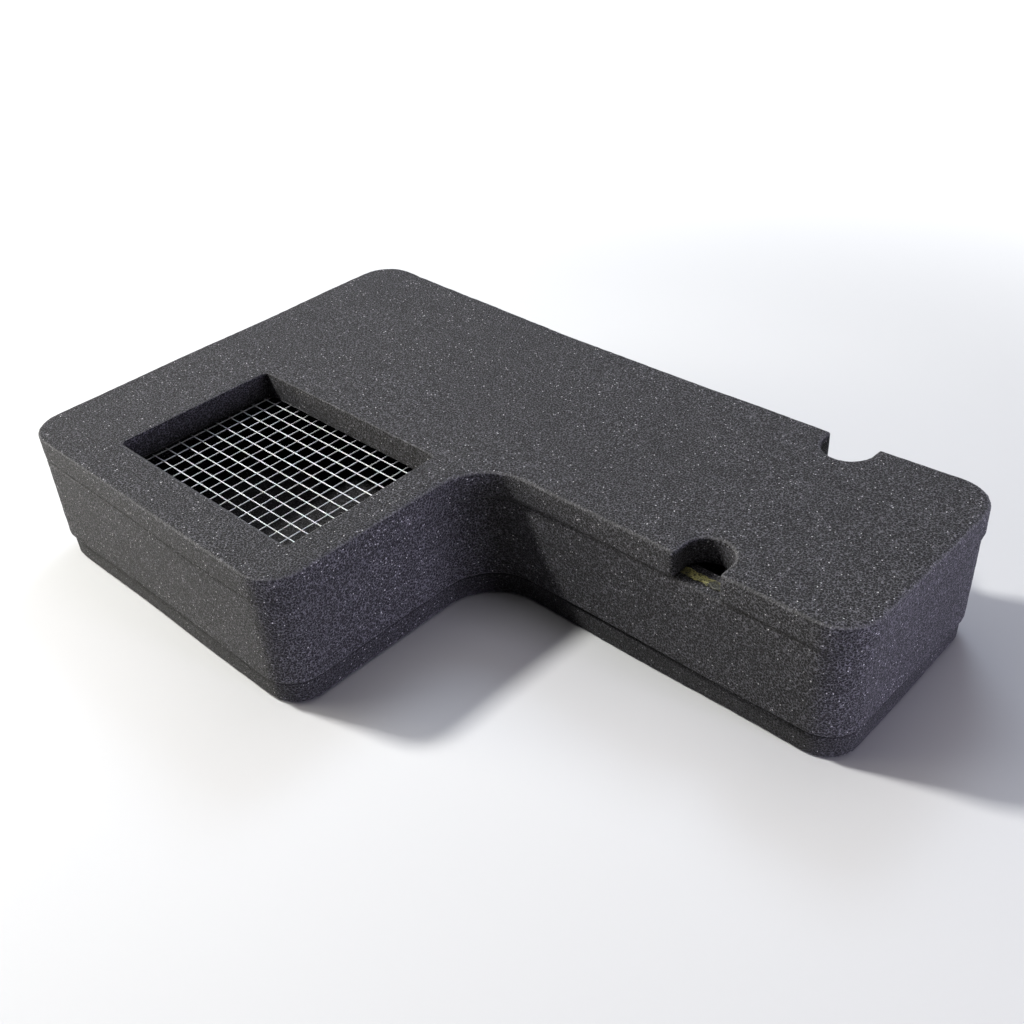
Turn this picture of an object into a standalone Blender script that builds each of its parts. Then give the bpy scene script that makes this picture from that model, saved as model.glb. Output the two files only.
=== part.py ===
"""L-shaped foam filter element, hollow inside, with a welded-wire outlet panel.

Two flat foam slabs close a foam wall that runs all the way round the L. The wall stands in a
little from the top slab's edge, and the bottom slab a little further. Adhesive films bond the
wall to both slabs. A rectangular outlet window is cut through the top slab, and a panel of
welded wire is glued under it. Two round-ended notches in the top slab face each other across
the arm. Nothing on the element moves.

Units are metres and +Z is up. The outline is drawn from the front left corner of the wide end,
and every object is then shifted so that the origin is the middle of the resting face.
"""

from math import cos, pi, sin

import bpy
from mathutils import Vector

# Driving dimensions of the outline.
LENGTH = 0.325
WIDTH = 0.201
HEIGHT = 0.060
WIDE_END = 0.164
STEP_DEPTH = 0.102
OUTER_RADIUS = 0.015
INNER_RADIUS = 0.022
BACK_BOW = 0.0035

# The three foam layers and the seams between them.
TOP_THICKNESS = 0.011
BOTTOM_THICKNESS = 0.010
SEAM = 0.001
WALL_THICKNESS = 0.011
WALL_RECESS = 0.0008
BASE_RECESS = 0.0018
FOAM_EDGE = 0.0012

# The outlet window in the top slab.
WINDOW_LEFT = 0.0432
WINDOW_RIGHT = 0.1488
WINDOW_FRONT = 0.0202
WINDOW_BACK = 0.0912
WINDOW_RADIUS = 0.001

# The two notches across the arm.
FRONT_NOTCH_CENTRE = 0.265
FRONT_NOTCH_WIDTH = 0.020
FRONT_NOTCH_DEPTH = 0.016
BACK_NOTCH_CENTRE = 0.267
BACK_NOTCH_WIDTH = 0.021
BACK_NOTCH_DEPTH = 0.015

# The welded wire panel: quarter-inch mesh, cut to fit between the walls.
WIRE_DIAMETER = 0.00056
WIRE_PITCH = 0.00635
WIRE_STUB = 0.0005
CROSS_WIRES_START = 0.0299
CROSS_WIRES = 20
LONG_WIRES_START = 0.01275
LONG_WIRES = 15

# The adhesive films, and the gap that touching pieces keep.
FILM_THICKNESS = 0.0004
FILM_WIDTH = 0.004
PANEL_FILM_SETBACK = 0.001
TOUCH = 0.0003

# Heights that follow from them.
WALL_BOTTOM = BOTTOM_THICKNESS + SEAM
TOP_SLAB_BOTTOM = HEIGHT - TOP_THICKNESS
WALL_TOP = TOP_SLAB_BOTTOM - SEAM
PANEL_FILM_BOTTOM = TOP_SLAB_BOTTOM - TOUCH - FILM_THICKNESS
LONG_WIRE_HEIGHT = PANEL_FILM_BOTTOM - TOUCH - WIRE_DIAMETER / 2
CROSS_WIRE_HEIGHT = LONG_WIRE_HEIGHT - WIRE_DIAMETER - TOUCH

# Fineness of the rounded shapes.
CORNER_STEPS = 8
SMALL_RADIUS = 0.002
SMALL_CORNER_STEPS = 2
BOW_STEP = 0.018
WIRE_RESOLUTION = 2
BEVEL_SEGMENTS = 2
BEVEL_ANGLE = pi / 4
WELD_DISTANCE = 0.00001

PARTS_COLLECTION = "foam_filter"


def clear_scene():
    for obj in list(bpy.data.objects):
        bpy.data.objects.remove(obj)


def make_material(name, colour, roughness, metallic=0.0):
    material = bpy.data.materials.new(name)
    material.use_nodes = True
    shader = material.node_tree.nodes["Principled BSDF"]
    shader.inputs["Base Color"].default_value = (*colour, 1.0)
    shader.inputs["Roughness"].default_value = roughness
    shader.inputs["Metallic"].default_value = metallic
    return material


def rounded_outline(corners):
    """Closed run of points from right-angled corners, each given as (x, y, radius)."""
    points = []
    for index, (x, y, radius) in enumerate(corners):
        corner = Vector((x, y))
        if radius == 0:
            points.append(corner)
            continue
        to_last = (Vector(corners[index - 1][:2]) - corner).normalized()
        to_next = (Vector(corners[(index + 1) % len(corners)][:2]) - corner).normalized()
        centre = corner + (to_last + to_next) * radius
        steps = SMALL_CORNER_STEPS if radius < SMALL_RADIUS else CORNER_STEPS
        for step in range(steps + 1):
            turn = pi / 2 * step / steps
            points.append(centre - (to_next * cos(turn) + to_last * sin(turn)) * radius)
    return points


def bow_back_edge(points, back):
    """Dips the straight back edge in towards its middle, as a shallow curve."""
    bowed = []
    for index, point in enumerate(points):
        following = points[(index + 1) % len(points)]
        bowed.append(point)
        if abs(point.y - back) < WELD_DISTANCE and abs(following.y - back) < WELD_DISTANCE:
            pieces = int((following - point).length / BOW_STEP) + 1
            bowed += [point.lerp(following, piece / pieces) for piece in range(1, pieces)]
    middle = LENGTH / 2
    reach = middle - OUTER_RADIUS
    for point in bowed:
        if point.y > WIDTH - OUTER_RADIUS - WALL_THICKNESS:
            point.y -= BACK_BOW * max(0, 1 - ((point.x - middle) / reach) ** 2)
    return bowed


def notch_corners(centre, width, edge, depth):
    """A round-ended notch cut into the edge; negative width and depth cut the back edge."""
    start, end = centre - width / 2, centre + width / 2
    floor = edge + depth
    radius = abs(width) / 2
    return [(start, edge, 0), (start, floor, radius), (end, floor, radius), (end, edge, 0)]


def l_outline(inset, notched=False):
    """The L's outline, moved in from the top slab's edge by inset."""
    left, front = inset, inset
    right, back = LENGTH - inset, WIDTH - inset
    step_x, step_y = WIDE_END - inset, STEP_DEPTH + inset
    outer = max(OUTER_RADIUS - inset, SMALL_RADIUS)
    inner = INNER_RADIUS + inset
    front_notch = notch_corners(FRONT_NOTCH_CENTRE, FRONT_NOTCH_WIDTH, step_y, FRONT_NOTCH_DEPTH)
    back_notch = notch_corners(BACK_NOTCH_CENTRE, -BACK_NOTCH_WIDTH, back, -BACK_NOTCH_DEPTH)
    corners = [(left, front, outer), (step_x, front, outer), (step_x, step_y, inner)]
    corners += front_notch if notched else []
    corners += [(right, step_y, outer), (right, back, outer)]
    corners += back_notch if notched else []
    corners += [(left, back, outer)]
    return bow_back_edge(rounded_outline(corners), back)


def rectangle(left, right, front, back, radius):
    return rounded_outline(
        [(left, front, radius), (right, front, radius), (right, back, radius), (left, back, radius)]
    )


def add_part(name, data, height, material):
    """Puts a drawn shape at its height, centred on the origin."""
    data.materials.append(material)
    part = bpy.data.objects.new(name, data)
    part.location = (-LENGTH / 2, -WIDTH / 2, height)
    bpy.data.collections[PARTS_COLLECTION].objects.link(part)
    return part


def add_plate(name, outlines, bottom, thickness, material):
    """A flat piece with vertical sides; every outline after the first is a hole in it."""
    curve = bpy.data.curves.new(name, "CURVE")
    curve.dimensions = "2D"
    curve.fill_mode = "BOTH"
    curve.extrude = thickness / 2
    for outline in outlines:
        spline = curve.splines.new("POLY")
        spline.points.add(len(outline) - 1)
        for target, point in zip(spline.points, outline):
            target.co = (point.x, point.y, 0, 1)
        spline.use_cyclic_u = True
    return add_part(name, curve, bottom + thickness / 2, material)


def round_edges(part):
    """Softens the rims that the knife leaves on cut foam."""
    weld = part.modifiers.new("weld", "WELD")
    weld.merge_threshold = WELD_DISTANCE
    bevel = part.modifiers.new("soft_edge", "BEVEL")
    bevel.width = FOAM_EDGE
    bevel.segments = BEVEL_SEGMENTS
    bevel.limit_method = "ANGLE"
    bevel.angle_limit = BEVEL_ANGLE


def add_wire(name, start, end, height, material):
    """One straight round wire between two points of the plan."""
    curve = bpy.data.curves.new(name, "CURVE")
    curve.dimensions = "3D"
    curve.bevel_depth = WIRE_DIAMETER / 2
    curve.bevel_resolution = WIRE_RESOLUTION
    curve.use_fill_caps = True
    spline = curve.splines.new("POLY")
    spline.points.add(1)
    spline.points[0].co = (*start, 0, 1)
    spline.points[1].co = (*end, 0, 1)
    return add_part(name, curve, height, material)


def build_foam(material):
    window = rectangle(WINDOW_LEFT, WINDOW_RIGHT, WINDOW_FRONT, WINDOW_BACK, WINDOW_RADIUS)
    top = add_plate(
        "top_foam_slab", [l_outline(0, notched=True), window], TOP_SLAB_BOTTOM, TOP_THICKNESS, material
    )
    bottom = add_plate(
        "bottom_foam_slab", [l_outline(BASE_RECESS)], 0, BOTTOM_THICKNESS, material
    )
    add_plate(
        "foam_side_wall",
        [l_outline(WALL_RECESS), l_outline(WALL_RECESS + WALL_THICKNESS)],
        WALL_BOTTOM,
        WALL_TOP - WALL_BOTTOM,
        material,
    )
    round_edges(top)
    round_edges(bottom)


def build_bond_films(material):
    """Dried adhesive along the middle of the wall's two edges."""
    inset = WALL_RECESS + (WALL_THICKNESS - FILM_WIDTH) / 2
    ring = [l_outline(inset), l_outline(inset + FILM_WIDTH)]
    add_plate("upper_adhesive_film", ring, WALL_TOP + TOUCH, FILM_THICKNESS, material)
    add_plate("lower_adhesive_film", ring, BOTTOM_THICKNESS + TOUCH, FILM_THICKNESS, material)


def build_wire_panel(wire_material, film_material):
    """Long wires run along X under the slab, and cross wires along Y are welded below them."""
    left = CROSS_WIRES_START
    right = left + (CROSS_WIRES - 1) * WIRE_PITCH
    front = LONG_WIRES_START
    back = front + (LONG_WIRES - 1) * WIRE_PITCH
    for index in range(CROSS_WIRES):
        x = left + index * WIRE_PITCH
        name = f"mesh_cross_wire_{index + 1:02d}"
        add_wire(name, (x, front - WIRE_STUB), (x, back + WIRE_STUB), CROSS_WIRE_HEIGHT, wire_material)
    for index in range(LONG_WIRES):
        y = front + index * WIRE_PITCH
        name = f"mesh_long_wire_{index + 1:02d}"
        add_wire(name, (left - WIRE_STUB, y), (right + WIRE_STUB, y), LONG_WIRE_HEIGHT, wire_material)

    panel = rectangle(
        left - WIRE_STUB, right + WIRE_STUB, front - WIRE_STUB, back + WIRE_STUB, WINDOW_RADIUS
    )
    opening = rectangle(
        WINDOW_LEFT - PANEL_FILM_SETBACK,
        WINDOW_RIGHT + PANEL_FILM_SETBACK,
        WINDOW_FRONT - PANEL_FILM_SETBACK,
        WINDOW_BACK + PANEL_FILM_SETBACK,
        WINDOW_RADIUS,
    )
    add_plate("mesh_adhesive_film", [panel, opening], PANEL_FILM_BOTTOM, FILM_THICKNESS, film_material)


def build():
    clear_scene()
    parts = bpy.data.collections.new(PARTS_COLLECTION)
    bpy.context.scene.collection.children.link(parts)
    foam = make_material("charcoal_foam", (0.075, 0.073, 0.080), 0.95)
    wire = make_material("galvanised_wire", (0.62, 0.63, 0.65), 0.35, metallic=1.0)
    adhesive = make_material("dried_adhesive", (0.42, 0.40, 0.22), 0.5)
    build_foam(foam)
    build_bond_films(adhesive)
    build_wire_panel(wire, adhesive)


build()
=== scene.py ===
"""Looks for the foam filter element: cut open-cell foam, dried adhesive and welded wire mesh."""

from math import pi, radians

import bmesh
import bpy
import numpy as np
from mathutils import Matrix, Quaternion, Vector, noise


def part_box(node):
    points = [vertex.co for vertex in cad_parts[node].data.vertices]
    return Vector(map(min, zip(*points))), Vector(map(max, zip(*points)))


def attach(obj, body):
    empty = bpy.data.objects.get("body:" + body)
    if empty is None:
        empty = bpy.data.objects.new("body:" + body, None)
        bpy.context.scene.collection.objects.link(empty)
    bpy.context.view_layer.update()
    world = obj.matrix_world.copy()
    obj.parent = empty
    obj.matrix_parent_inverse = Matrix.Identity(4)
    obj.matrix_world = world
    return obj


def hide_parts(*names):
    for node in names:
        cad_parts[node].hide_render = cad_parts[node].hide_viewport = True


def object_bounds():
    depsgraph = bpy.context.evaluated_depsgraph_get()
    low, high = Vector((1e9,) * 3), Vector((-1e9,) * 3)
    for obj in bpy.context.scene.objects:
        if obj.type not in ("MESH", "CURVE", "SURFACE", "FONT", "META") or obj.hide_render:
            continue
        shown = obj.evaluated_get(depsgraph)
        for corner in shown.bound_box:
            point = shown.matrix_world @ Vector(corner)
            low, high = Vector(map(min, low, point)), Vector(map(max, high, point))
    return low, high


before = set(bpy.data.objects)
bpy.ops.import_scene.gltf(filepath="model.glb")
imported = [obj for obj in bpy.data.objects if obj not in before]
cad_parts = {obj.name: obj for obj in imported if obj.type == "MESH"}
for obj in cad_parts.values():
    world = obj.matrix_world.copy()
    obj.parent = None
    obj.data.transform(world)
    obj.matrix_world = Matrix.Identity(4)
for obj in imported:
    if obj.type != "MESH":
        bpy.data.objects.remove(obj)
CAD_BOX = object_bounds()

# Lengths are in metres, and colours are linear red, green and blue.

# Camera, matched to the photographed view.
CAMERA_PLACE = Vector((0.2812, -0.2577, 0.3095))
CAMERA_AIM = Vector((0.0051, 0.0128, 0.030))
CAMERA_ROLL = radians(-3.89)
CAMERA_LENS_MM = 41.96
CAMERA_CLIP = (0.01, 50)

# Lamps: name, direction from the object, distance, side, watts and colour.
LAMPS = (
    ("key_left_high", (-0.60, -0.26, 0.76), 1.6, 0.16, 35, (1.0, 1.0, 0.98)),
    ("lamp_left_front", (-0.75, -0.60, 0.32), 1.2, 0.6, 7, (1.0, 0.96, 0.92)),
    ("lamp_left_low", (-0.88, -0.46, 0.13), 1.2, 0.35, 9, (1.0, 0.97, 0.80)),
    ("cool_fill_right", (0.95, 0.10, 0.075), 1.1, 0.18, 14, (0.77, 0.74, 1.0)),
    ("soft_overhead", (-0.10, 0.25, 0.96), 1.4, 1.2, 8.5, (0.98, 0.96, 1.0)),
    ("cool_window_behind", (-0.30, 0.56, 0.78), 1.3, 0.4, 5.5, (0.70, 0.82, 1.0)),
)
WHITE = (1.0, 1.0, 1.0)
BLACK = (0.0, 0.0, 0.0)
ROOM_GLOW = 0.02

# The pale floor and backdrop.
STAGE_RADIUS = 6.0
FLOOR_DROP = 0.0002
FLOOR_COLOUR = (0.50, 0.50, 0.50)
FLOOR_ROUGHNESS = 0.9
FLOOR_GLOW_REACH = (0.28, 0.80)
FLOOR_SEGMENTS = 64
BACKDROP_GLOW = 0.85
BACKDROP_SEGMENTS = 48
BACKDROP_RINGS = 24

# Seeded noise for the shapes: how many waves are summed, and how much their pitch varies.
NOISE_WAVES = 12
NOISE_PITCH = (0.6, 1.4)

# Foam shapes: fineness of the rebuilt surface, and how far it wanders from true.
CAD_WELD = 0.00001
FOAM_VOXEL = 0.0007
FOAM_MERGE = 0.0002
FOAM_RIM = 0.0010
RIM_SEGMENTS = 2
RIM_ANGLE = radians(45)
SLAB_SWELL = 0.0003
WALL_SWELL = 0.0005
WINDOW_MIDDLE = (-0.0665, -0.0448)
WINDOW_REACH = (0.0555, 0.0382)
WINDOW_OPENING = 0.0009
SEAM_CLEARANCE = 0.0002
WANDER_SIZE = 0.090
WANDER_DEPTH = 0.00035
LUMP_SIZE = 0.006
LUMP_DEPTH = 0.00006
LUMP_SEED = 5

# Foam colours: a pair is for the darker and the paler parts of the piece.
PORE_COLOURS = ((0.0044, 0.0042, 0.0048), (0.0062, 0.0060, 0.0066))
STRUT_COLOURS = ((0.116, 0.113, 0.126), (0.148, 0.144, 0.162))
# The rim highlight colours are a painted highlight on the rounded rims, partly the fraying of the
# cut edge.
RIM_HIGHLIGHT_COLOURS = ((0.070, 0.069, 0.071), (0.180, 0.177, 0.184))
GLINT_COLOUR = (0.74, 0.72, 0.74)
# The seam shade colour is painted shade, laid on the rims that meet a seam.
SEAM_SHADE_COLOUR = (0.008, 0.008, 0.009)
FULL_TONE = 1.0
# The base tone darkens the whole bottom slab: painted shade, standing in for the dimmer light low
# down.
BASE_SHADE_TONE = 0.54

# Foam structure: sizes of its cells and blotches, and how unevenly the cells lie.
FOAM_CELL = 0.00108
GLINT_CELL = 0.00090
GRAIN_SIZE = 0.00075
BLOTCH_SIZE = 0.030
WARP_SIZE = 0.0015
WARP_SHIFT = 0.0010
STRUT_EDGE = (0.02, 0.22)
GRAIN_EDGE = (0.44, 0.61)
GLINT_CHANCE = (0.89, 0.985)
GLINT_EDGE = (0.14, 0.34)
FOAM_BUMP = 0.00040

# Rims, found by how far their faces are turned up or down: where an upright side turns
# into the rim, and where the rim turns into the flat face. The other pairs say how strongly
# the rims that face up, and those that face down, get the painted rim highlight (partly the
# fraying of the cut edge) and the painted seam shade.
SIDE_TO_RIM = (0.20, 0.50)
RIM_TO_FLAT = (0.84, 0.985)
TOP_RIM_HIGHLIGHT = (0.68, 0.0)
TOP_SEAM_SHADE = (0.0, 0.75)
WALL_RIM_HIGHLIGHT = (0.40, 0.40)
BASE_SEAM_SHADE = (0.75, 0.0)
NO_RIMS = (0.0, 0.0)

# Welded wire mesh.
WIRE_DIAMETER = 0.00054
WIRE_BEVEL_RESOLUTION = 2
WIRE_STEP = 0.003175
WIRE_POINT_MERGE = 0.000001
WIRE_DRIFT_SIZE = 0.020
WIRE_SWAY = 0.00012
WIRE_LIFT = 0.00004
SWAY_NOISE_ROW = 1.7
SWAY_NOISE_LAYER = 0.3
LIFT_NOISE_ROW = 2.3
LIFT_NOISE_LAYER = 9.1
WELD_SINK = 0.00014
NUGGET_WIDTH = 0.00074
NUGGET_HEIGHT = 0.00086
NUGGET_SEGMENTS = 8
NUGGET_RINGS = 5
DULL_ZINC = (0.36, 0.37, 0.38)
PALE_ZINC = (0.54, 0.55, 0.57)
ZINC_PATCH = 0.006
ZINC_SPANGLE = 0.0016
ZINC_GRAIN = 0.0009
ZINC_BUMP = 0.00006

# Adhesive films.
FILM_VOXEL = 0.0005
FILM_SWELL = 0.0001
FILM_RAGGED = 0.0006
FILM_RAGGED_SIZE = 0.0030
FILM_RAGGED_SEED = 11
FILM_LUMP = 0.00018
FILM_LUMP_SIZE = 0.0022
FILM_LUMP_SEED = 17
FILM_PATCH = 0.0045
FILM_CELL = 0.00085
FILM_GRAIN = 0.0008
FILM_BUMP = 0.0004
OLIVE_THIN = (0.050, 0.048, 0.032)
OLIVE_THICK = (0.380, 0.355, 0.120)
DARK_THIN = (0.012, 0.012, 0.011)
DARK_THICK = (0.035, 0.033, 0.024)


# ------------------------------------------------------------- mesh helpers


def link(obj):
    bpy.context.scene.collection.objects.link(obj)
    return obj


def baked_mesh(obj):
    """The object's mesh with its modifiers applied; the object itself is removed."""
    graph = bpy.context.evaluated_depsgraph_get()
    mesh = bpy.data.meshes.new_from_object(obj.evaluated_get(graph))
    bpy.data.objects.remove(obj)
    return mesh


def mesh_from(body, name):
    """A new mesh with the shape of a bmesh, which is freed."""
    mesh = bpy.data.meshes.new(name)
    body.to_mesh(mesh)
    body.free()
    return mesh


def vertex_array(mesh):
    points = np.zeros(len(mesh.vertices) * 3)
    mesh.vertices.foreach_get("co", points)
    return points.reshape(-1, 3)


def normal_array(mesh):
    normals = np.zeros(len(mesh.vertices) * 3)
    mesh.vertices.foreach_get("normal", normals)
    return normals.reshape(-1, 3)


def store_vertices(mesh, points):
    mesh.vertices.foreach_set("co", points.ravel())
    mesh.update()


def smooth_noise(points, size, seed):
    """One value from about -1 to 1 for each point, varying over distances of about size."""
    random = np.random.default_rng(seed)
    total = np.zeros(len(points))
    for _ in range(NOISE_WAVES):
        direction = random.normal(size=3)
        direction *= random.uniform(*NOISE_PITCH) / np.linalg.norm(direction)
        total += np.sin(points @ direction * (2 * pi / size) + random.uniform(0, 2 * pi))
    return total / np.sqrt(2 * NOISE_WAVES)


# ---------------------------------------------------------------- materials


def toned(colour, tone):
    return tuple(channel * tone for channel in colour)


class Shader:
    """A small helper that adds nodes to a new material's Principled shader."""

    def __init__(self, name):
        self.material = bpy.data.materials.new(name)
        self.material.use_nodes = True
        self.tree = self.material.node_tree
        self.surface = self.tree.nodes["Principled BSDF"]
        self.place = self.tree.nodes.new("ShaderNodeTexCoord").outputs["Object"]

    def node(self, kind, **settings):
        made = self.tree.nodes.new(kind)
        for key, value in settings.items():
            setattr(made, key, value)
        return made

    def join(self, source, target):
        self.tree.links.new(source, target)

    def feed(self, value, socket):
        """Sets a socket to a number or a colour, or joins a node's output to it."""
        if isinstance(value, (int, float)):
            socket.default_value = value
        elif isinstance(value, tuple):
            socket.default_value = (*value, 1.0)
        else:
            self.join(value, socket)

    def set(self, name, value):
        self.feed(value, self.surface.inputs[name])

    def noise(self, size, detail=3.0, roughness=0.55):
        """Cloudy value; size is the width of its largest blotches."""
        made = self.node("ShaderNodeTexNoise")
        made.inputs["Scale"].default_value = 1 / size
        made.inputs["Detail"].default_value = detail
        made.inputs["Roughness"].default_value = roughness
        self.join(self.place, made.inputs["Vector"])
        return made.outputs["Fac"]

    def cells(self, size, feature="DISTANCE_TO_EDGE", place=None):
        made = self.node("ShaderNodeTexVoronoi", feature=feature)
        made.inputs["Scale"].default_value = 1 / size
        self.join(place or self.place, made.inputs["Vector"])
        return made

    def ramp(self, value, low, high, low_out=0.0, high_out=1.0):
        made = self.node("ShaderNodeMapRange", interpolation_type="SMOOTHSTEP")
        made.inputs["From Min"].default_value = low
        made.inputs["From Max"].default_value = high
        made.inputs["To Min"].default_value = low_out
        made.inputs["To Max"].default_value = high_out
        self.join(value, made.inputs["Value"])
        return made.outputs["Result"]

    def math(self, operation, first, second):
        made = self.node("ShaderNodeMath", operation=operation)
        self.feed(first, made.inputs[0])
        self.feed(second, made.inputs[1])
        return made.outputs[0]

    def mix(self, factor, first, second, blend="MIX"):
        """A colour between first and second; in a colour mix, sockets 6 and 7 take them."""
        made = self.node("ShaderNodeMix", data_type="RGBA", blend_type=blend)
        self.feed(factor, made.inputs[0])
        self.feed(first, made.inputs[6])
        self.feed(second, made.inputs[7])
        return made.outputs[2]

    def warped(self, size, shift):
        """The object's own coordinates, pushed about by up to about half of shift."""
        push = self.node("ShaderNodeTexNoise")
        push.inputs["Scale"].default_value = 1 / size
        push.inputs["Detail"].default_value = 2.0
        self.join(self.place, push.inputs["Vector"])
        centred = self.node("ShaderNodeVectorMath", operation="SUBTRACT")
        centred.inputs[1].default_value = (0.5, 0.5, 0.5)
        self.join(push.outputs["Color"], centred.inputs[0])
        moved = self.node("ShaderNodeVectorMath", operation="MULTIPLY_ADD")
        moved.inputs[1].default_value = (shift, shift, shift)
        self.join(centred.outputs[0], moved.inputs[0])
        self.join(self.place, moved.inputs[2])
        return moved.outputs[0]

    def struts(self, cell, place):
        """1 along the edges of the foam's cells, and 0 in the pores between them."""
        return self.ramp(self.cells(cell, place=place).outputs["Distance"], *STRUT_EDGE, 1.0, 0.0)

    def rim_factor(self, upper, lower):
        """How far a cut rim is changed: upper where it faces up, lower where it faces down."""
        coordinates = self.node("ShaderNodeTexCoord")
        split = self.node("ShaderNodeSeparateXYZ")
        self.join(coordinates.outputs["Normal"], split.inputs[0])
        upward = split.outputs["Z"]
        side, rim = SIDE_TO_RIM
        edge, flat = RIM_TO_FLAT
        above_side = self.ramp(upward, side, rim, 0.0, upper)
        below_flat = self.ramp(upward, edge, flat, 1.0, 0.0)
        below_side = self.ramp(upward, -rim, -side, lower, 0.0)
        above_flat = self.ramp(upward, -flat, -edge, 0.0, 1.0)
        upper_rim = self.math("MULTIPLY", above_side, below_flat)
        lower_rim = self.math("MULTIPLY", below_side, above_flat)
        return self.math("ADD", upper_rim, lower_rim)

    def bump(self, height, distance, strength):
        made = self.node("ShaderNodeBump")
        made.inputs["Distance"].default_value = distance
        made.inputs["Strength"].default_value = strength
        self.join(height, made.inputs["Height"])
        return made.outputs["Normal"]


def foam_material(name, tone, highlight_rims, seam_shade_rims):
    """Charcoal open-cell foam: dark pores between fine struts, a few of which glint.

    Rims are made paler with a painted highlight, partly the fraying of the cut edge, and the rims at
    a seam are darkened with painted shade.
    """
    s = Shader(name)
    place = s.warped(WARP_SIZE, WARP_SHIFT)
    struts = s.struts(FOAM_CELL, place)
    grain = s.ramp(s.noise(GRAIN_SIZE, detail=2.0, roughness=0.7), *GRAIN_EDGE)
    lit = s.math("MULTIPLY", struts, s.math("ADD", s.math("MULTIPLY", grain, 0.90), 0.10))
    blotch = s.noise(BLOTCH_SIZE, detail=2.0)
    pore = s.mix(blotch, *(toned(colour, tone) for colour in PORE_COLOURS))
    strut = s.mix(blotch, *(toned(colour, tone) for colour in STRUT_COLOURS))
    body = s.mix(lit, pore, strut)

    spots = s.cells(GLINT_CELL, feature="F1", place=place)
    chance = s.node("ShaderNodeSeparateColor")
    s.join(spots.outputs["Color"], chance.inputs["Color"])
    chosen = s.ramp(chance.outputs["Red"], *GLINT_CHANCE)
    middle = s.ramp(spots.outputs["Distance"], *GLINT_EDGE, 1.0, 0.0)
    glint = s.math("MULTIPLY", chosen, middle)
    surface = s.mix(glint, body, toned(GLINT_COLOUR, tone))

    # Painted highlight on the rims, partly the fraying of the cut edge.
    rim_highlight = s.mix(lit, *(toned(colour, tone) for colour in RIM_HIGHLIGHT_COLOURS))
    highlighted = s.mix(s.rim_factor(*highlight_rims), surface, rim_highlight)
    # Painted shade: the rims at a seam are darkened with this colour, where the groove lies in
    # shade.
    soaked = toned(SEAM_SHADE_COLOUR, tone)
    s.set("Base Color", s.mix(s.rim_factor(*seam_shade_rims), highlighted, soaked))
    s.set("Roughness", s.ramp(glint, 0.0, 1.0, 0.85, 0.35))
    s.set("Specular IOR Level", 0.30)
    s.set("Sheen Weight", 0.05)
    s.set("Sheen Roughness", 0.5)
    height = s.math("ADD", struts, s.math("MULTIPLY", grain, 0.6))
    s.set("Normal", s.bump(height, FOAM_BUMP, 0.9))
    return s.material


def wire_material():
    """Zinc coat: grey-white, spangled, with dull patches and slight unevenness."""
    s = Shader("galvanised_wire")
    spangle = s.cells(ZINC_SPANGLE, feature="F1").outputs["Color"]
    patch = s.noise(ZINC_PATCH, detail=4.0)
    zinc = s.mix(s.ramp(patch, 0.35, 0.7), DULL_ZINC, PALE_ZINC)
    s.set("Base Color", s.mix(0.12, zinc, spangle, blend="SOFT_LIGHT"))
    s.set("Metallic", 0.22)
    s.set("Roughness", s.ramp(patch, 0.3, 0.75, 0.56, 0.44))
    s.set("Normal", s.bump(s.noise(ZINC_GRAIN), ZINC_BUMP, 0.6))
    return s.material


def adhesive_material(name, thin, thick):
    """Dried contact adhesive that soaked into the foam here and stands thicker there."""
    s = Shader(name)
    place = s.warped(WARP_SIZE, WARP_SHIFT)
    thickness = s.ramp(s.noise(FILM_PATCH, detail=4.0), 0.40, 0.58)
    struts = s.struts(FILM_CELL, place)
    skin = s.ramp(s.noise(FILM_GRAIN, detail=2.0, roughness=0.7), 0.42, 0.62)
    coat = s.math("MAXIMUM", struts, skin)
    cured = s.mix(coat, toned(thick, 0.10), thick)
    bare = s.mix(struts, toned(thin, 0.2), thin)
    s.set("Base Color", s.mix(thickness, bare, cured))
    s.set("Roughness", s.ramp(coat, 0.0, 1.0, 0.75, 0.38))
    s.set("Normal", s.bump(coat, FILM_BUMP, 1.0))
    return s.material


# ------------------------------------------------------------------- pieces


def copied_node(name, node, low, high):
    """A new object with the CAD node's shape, its height stretched to run from low to high."""
    piece = link(bpy.data.objects.new(name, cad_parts[node].data.copy()))
    piece.data.materials.clear()
    points = vertex_array(piece.data)
    bottom, top = points[:, 2].min(), points[:, 2].max()
    points[:, 2] = low + (points[:, 2] - bottom) * (high - low) / (top - bottom)
    store_vertices(piece.data, points)
    return piece


def remeshed(piece, voxel, merge=0.0, rim=0.0):
    """The piece rebuilt from small faces, larger where it is flat, its rims rounded."""
    weld = piece.modifiers.new("weld", "WELD")
    weld.merge_threshold = CAD_WELD
    if rim:
        bevel = piece.modifiers.new("rim", "BEVEL")
        bevel.width = rim
        bevel.segments = RIM_SEGMENTS
        bevel.limit_method = "ANGLE"
        bevel.angle_limit = RIM_ANGLE
    remesh = piece.modifiers.new("even_faces", "REMESH")
    remesh.mode = "VOXEL"
    remesh.voxel_size = voxel
    remesh.adaptivity = merge
    remesh.use_smooth_shade = True
    name = piece.name
    mesh = baked_mesh(piece)
    return link(bpy.data.objects.new(name, mesh))


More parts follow.
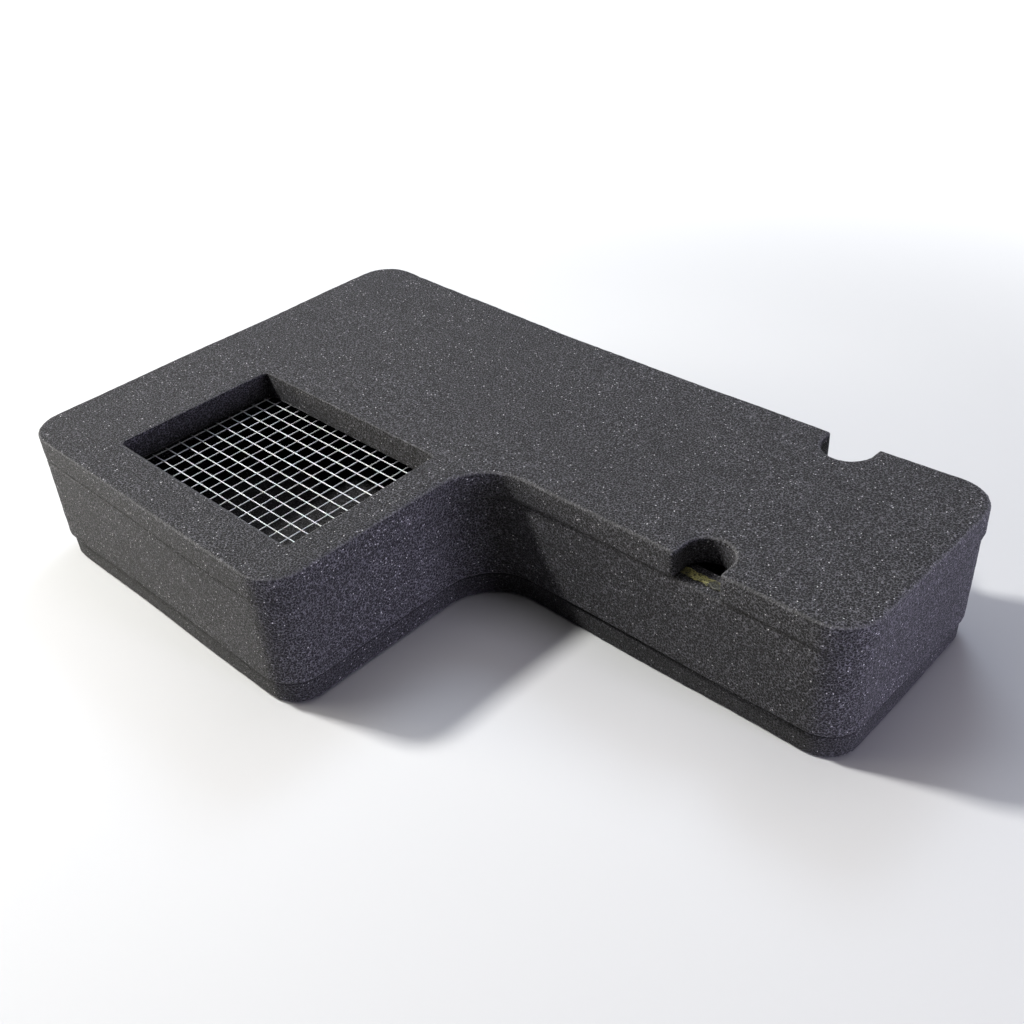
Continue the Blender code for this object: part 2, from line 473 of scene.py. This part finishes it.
def wander(piece, seed, swell, floor):
    """Lets the cut surface drift in and out a little, as foam does, but not below the floor.

    The sides swell too, except round the window, which opens instead.
    """
    mesh = piece.data
    points, normals = vertex_array(mesh), normal_array(mesh)
    depth = WANDER_DEPTH * smooth_noise(points, WANDER_SIZE, seed)
    depth += LUMP_DEPTH * smooth_noise(points, LUMP_SIZE, seed + LUMP_SEED)
    points += normals * depth[:, None]
    by_window = np.all(np.abs(points[:, :2] - WINDOW_MIDDLE) < WINDOW_REACH, axis=1)
    growth = np.where(by_window, -WINDOW_OPENING, swell)
    points += normals * (1, 1, 0) * growth[:, None]
    points[:, 2] = np.maximum(points[:, 2], floor)
    store_vertices(mesh, points)


def finish_piece(piece, material, slot, *nodes):
    piece.data.materials.append(material)
    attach(piece, "root")
    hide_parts(*nodes)


def make_foam():
    """The two slabs and the wall between them, each brought close to the films at its seams."""
    top = foam_material("charcoal_foam", FULL_TONE, TOP_RIM_HIGHLIGHT, TOP_SEAM_SHADE)
    wall = foam_material("charcoal_wall_foam", FULL_TONE, WALL_RIM_HIGHLIGHT, NO_RIMS)
    # Painted shade: the bottom slab's foam is made darker all over.
    base = foam_material("charcoal_base_foam_shaded", BASE_SHADE_TONE, NO_RIMS, BASE_SEAM_SHADE)
    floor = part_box("bottom_foam_slab")[0].z
    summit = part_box("top_foam_slab")[1].z
    upper_low, upper_high = (corner.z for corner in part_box("upper_adhesive_film"))
    lower_low, lower_high = (corner.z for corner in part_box("lower_adhesive_film"))
    pieces = (
        ("top_foam_slab", top, upper_high + SEAM_CLEARANCE, summit, 0.0, SLAB_SWELL),
        ("foam_side_wall", wall, lower_high, upper_low, FOAM_RIM, WALL_SWELL),
        ("bottom_foam_slab", base, floor, lower_low - SEAM_CLEARANCE, 0.0, WALL_SWELL),
    )
    for seed, (node, material, low, high, rim, swell) in enumerate(pieces):
        piece = copied_node(node.replace("foam", "cut_foam"), node, low, high)
        piece = remeshed(piece, FOAM_VOXEL, FOAM_MERGE, rim)
        wander(piece, seed, swell, floor)
        finish_piece(piece, material, "filter_foam", node)


def make_films():
    """Ragged beads of adhesive; the one that holds the mesh soaked into the dark foam."""
    olive = adhesive_material("dried_adhesive", OLIVE_THIN, OLIVE_THICK)
    dark = adhesive_material("soaked_adhesive", DARK_THIN, DARK_THICK)
    films = {"upper_adhesive_film": olive, "lower_adhesive_film": olive, "mesh_adhesive_film": dark}
    for seed, (node, material) in enumerate(films.items()):
        low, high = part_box(node)
        name = node.replace("film", "bead")
        piece = copied_node(name, node, low.z - FILM_SWELL, high.z + FILM_SWELL)
        piece = remeshed(piece, FILM_VOXEL)
        mesh = piece.data
        points, normals = vertex_array(mesh), normal_array(mesh)
        ragged = FILM_RAGGED * smooth_noise(points, FILM_RAGGED_SIZE, seed + FILM_RAGGED_SEED)
        points += normals * (1, 1, 0) * ragged[:, None]
        lump = FILM_LUMP * smooth_noise(points, FILM_LUMP_SIZE, seed + FILM_LUMP_SEED)
        points[:, 2] += lump * np.sign(normals[:, 2])
        store_vertices(mesh, points)
        finish_piece(piece, material, "dried_adhesive", node)


def wire_points(start, end, height, seed):
    """Points of one wire: nearly straight, swaying a little from side to side."""
    steps = max(2, round((end - start).length / WIRE_STEP))
    along = (end - start).normalized()
    across = Vector((-along.y, along.x, 0))
    points = []
    for step in range(steps + 1):
        reach = step * WIRE_STEP / WIRE_DRIFT_SIZE
        sway = noise.noise(Vector((reach, seed * SWAY_NOISE_ROW, SWAY_NOISE_LAYER)))
        lift = noise.noise(Vector((reach, seed * LIFT_NOISE_ROW, LIFT_NOISE_LAYER)))
        point = start.lerp(end, step / steps) + across * sway * WIRE_SWAY
        points.append(point + Vector((0, 0, height + lift * WIRE_LIFT)))
    return points


def wire_run(node, is_cross, height, seed):
    """Points along the middle of a CAD wire's box: along Y for a cross wire, or else along X."""
    low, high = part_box(node)
    middle = (low + high) / 2
    if is_cross:
        return wire_points(Vector((middle.x, low.y, 0)), Vector((middle.x, high.y, 0)), height, seed)
    return wire_points(Vector((low.x, middle.y, 0)), Vector((high.x, middle.y, 0)), height, seed)


def round_wires(runs):
    """A bmesh with one round wire along each run of points."""
    curve = bpy.data.curves.new("wire_runs", "CURVE")
    curve.dimensions = "3D"
    curve.bevel_depth = WIRE_DIAMETER / 2
    curve.bevel_resolution = WIRE_BEVEL_RESOLUTION
    curve.use_fill_caps = True
    for run in runs:
        spline = curve.splines.new("POLY")
        spline.points.add(len(run) - 1)
        for target, point in zip(spline.points, run):
            target.co = (*point, 1)
    wires = link(bpy.data.objects.new("wire_runs", curve))
    body = bmesh.new()
    body.from_mesh(baked_mesh(wires))
    bmesh.ops.remove_doubles(body, verts=body.verts, dist=WIRE_POINT_MERGE)
    return body


def weld_nugget():
    """The flattened blob of zinc and fused wire at one crossing."""
    body = bmesh.new()
    size = Matrix.Diagonal((NUGGET_WIDTH / 2, NUGGET_WIDTH / 2, NUGGET_HEIGHT / 2, 1))
    bmesh.ops.create_uvsphere(
        body, u_segments=NUGGET_SEGMENTS, v_segments=NUGGET_RINGS, radius=1, matrix=size
    )
    return mesh_from(body, "weld_nugget")


def make_wire_mesh():
    """The outlet panel: two layers of wire, fused and coated where they cross."""
    cross = sorted(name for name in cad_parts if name.startswith("mesh_cross_wire"))
    long = sorted(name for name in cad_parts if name.startswith("mesh_long_wire"))
    long_height = sum(corner.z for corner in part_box(long[0])) / 2
    cross_height = long_height - WIRE_DIAMETER + WELD_SINK
    runs = {}
    for seed, node in enumerate(cross + long):
        is_cross = node in cross
        runs[node] = wire_run(node, is_cross, cross_height if is_cross else long_height, seed)
    body = round_wires(runs.values())

    weld_height = (cross_height + long_height) / 2
    nugget = weld_nugget()
    for first in cross:
        first_x, first_y = [p.x for p in runs[first]], [p.y for p in runs[first]]
        for second in long:
            second_x, second_y = [p.x for p in runs[second]], [p.y for p in runs[second]]
            x = np.interp(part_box(second)[0].y, first_y, first_x)
            y = np.interp(x, second_x, second_y)
            blob = nugget.copy()
            blob.transform(Matrix.Translation((x, y, weld_height)))
            body.from_mesh(blob)
    mesh = mesh_from(body, "outlet_wire_mesh")
    mesh.shade_smooth()
    panel = link(bpy.data.objects.new("outlet_wire_mesh", mesh))
    finish_piece(panel, wire_material(), "galvanised_wire", *cross, *long)


# -------------------------------------------------------------------- stage


def make_floor():
    """A pale floor whose far part glows a little, so that it stays pale beyond the lamps."""
    body = bmesh.new()
    bmesh.ops.create_circle(body, cap_ends=True, segments=FLOOR_SEGMENTS, radius=STAGE_RADIUS)
    floor = link(bpy.data.objects.new("pale_floor", mesh_from(body, "pale_floor")))
    floor.location.z = CAD_BOX[0].z - FLOOR_DROP
    s = Shader("pale_floor")
    s.set("Base Color", FLOOR_COLOUR)
    s.set("Roughness", FLOOR_ROUGHNESS)
    s.set("Emission Color", WHITE)
    reach = s.node("ShaderNodeVectorMath", operation="LENGTH")
    s.join(s.place, reach.inputs[0])
    glow = s.ramp(reach.outputs["Value"], *FLOOR_GLOW_REACH, 0.0, BACKDROP_GLOW)
    s.set("Emission Strength", glow)
    floor.data.materials.append(s.material)


def make_backdrop():
    """A pale dome behind everything, which lights nothing."""
    body = bmesh.new()
    bmesh.ops.create_uvsphere(
        body, u_segments=BACKDROP_SEGMENTS, v_segments=BACKDROP_RINGS, radius=STAGE_RADIUS
    )
    dome = link(bpy.data.objects.new("pale_backdrop", mesh_from(body, "pale_backdrop")))
    s = Shader("pale_backdrop")
    s.set("Base Color", BLACK)
    s.set("Emission Color", WHITE)
    s.set("Emission Strength", BACKDROP_GLOW)
    dome.data.materials.append(s.material)
    dome.visible_diffuse = False
    dome.visible_glossy = False
    dome.visible_shadow = False


def make_lamp(name, towards, distance, side, power, colour):
    """A soft square lamp that lights the object from the direction towards."""
    lamp = bpy.data.lights.new(name, "AREA")
    lamp.size = side
    lamp.energy = power
    lamp.color = colour
    place = link(bpy.data.objects.new(name, lamp))
    direction = Vector(towards).normalized()
    place.location = direction * distance
    place.rotation_mode = "QUATERNION"
    place.rotation_quaternion = direction.to_track_quat("Z", "Y")
    place.visible_camera = False


def make_lights():
    for lamp in LAMPS:
        make_lamp(*lamp)
    world = bpy.data.worlds.new("room")
    world.use_nodes = True
    background = world.node_tree.nodes["Background"]
    background.inputs["Color"].default_value = (*WHITE, 1.0)
    background.inputs["Strength"].default_value = ROOM_GLOW
    bpy.context.scene.world = world


def make_camera():
    camera = bpy.data.cameras.new("camera")
    camera.lens = CAMERA_LENS_MM
    camera.clip_start, camera.clip_end = CAMERA_CLIP
    place = link(bpy.data.objects.new("camera", camera))
    place.location = CAMERA_PLACE
    aim = (CAMERA_AIM - CAMERA_PLACE).normalized().to_track_quat("-Z", "Y")
    place.rotation_mode = "QUATERNION"
    place.rotation_quaternion = aim @ Quaternion((0, 0, 1), CAMERA_ROLL)
    bpy.context.scene.camera = place


bpy.context.scene.view_settings.view_transform = "Standard"
make_camera()
make_floor()
make_backdrop()
make_lights()
make_foam()
make_films()
make_wire_mesh()

bpy.context.view_layer.update()
